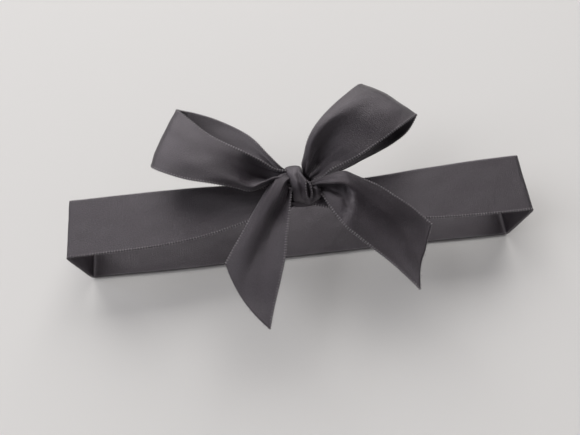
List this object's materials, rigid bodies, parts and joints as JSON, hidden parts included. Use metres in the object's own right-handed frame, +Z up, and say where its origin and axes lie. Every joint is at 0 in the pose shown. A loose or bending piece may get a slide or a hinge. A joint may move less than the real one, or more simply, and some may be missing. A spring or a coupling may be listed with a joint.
{
  "type": "gift ribbon bow",
  "caption": "Black satin ribbon wrapped once round a shallow box and tied on top in a bow, with loops and slant-cut tails that lift.",
  "frame": {"origin": "middle of the underside of the lower run, where the wrapped box stands on a table", "axes": "+X along the wrap, towards the right tail; +Y across the ribbon, towards the side that the loops fan out to; +Z up through the knot"},
  "size_m": [0.191, 0.0972, 0.0501],
  "materials": {
    "ribbon": "black satin ribbon with a woven picot selvedge",
    "knot": "black satin ribbon, pleated and drawn tight",
    "bow": "black satin ribbon, soft folds and broad sheen"
  },
  "bodies": {
    "wrap": {"under_band": "ribbon", "left_drop": "ribbon", "right_drop": "ribbon", "left_band": "ribbon", "right_band": "ribbon", "first_hitch": "knot", "knot_core": "knot", "knot_wrap": "knot"},
    "left_loop": {"left_loop": "bow"},
    "right_loop": {"right_loop": "bow"},
    "left_tail": {"left_tail": "bow"},
    "right_tail": {"right_tail": "bow"}
  },
  "joints": [
    {"name": "left_loop_lift", "type": "hinge", "parent": "wrap", "child": "left_loop", "pos_m": [-0.0062, 0.0095, 0.0365], "axis": [0.4067, 0.9135, 0], "range_deg": [0, 45]},
    {"name": "right_loop_lift", "type": "hinge", "parent": "wrap", "child": "right_loop", "pos_m": [0.0103, 0.0115, 0.0365], "axis": [0.6157, -0.788, 0], "range_deg": [0, 45]},
    {"name": "left_tail_lift", "type": "hinge", "parent": "wrap", "child": "left_tail", "pos_m": [-0.0063, 0.0012, 0.0365], "axis": [-0.891, 0.454, 0], "range_deg": [0, 60]},
    {"name": "right_tail_lift", "type": "hinge", "parent": "wrap", "child": "right_tail", "pos_m": [0.0102, 0.0028, 0.0365], "axis": [-0.6428, -0.766, 0], "range_deg": [0, 60]}
  ]
}
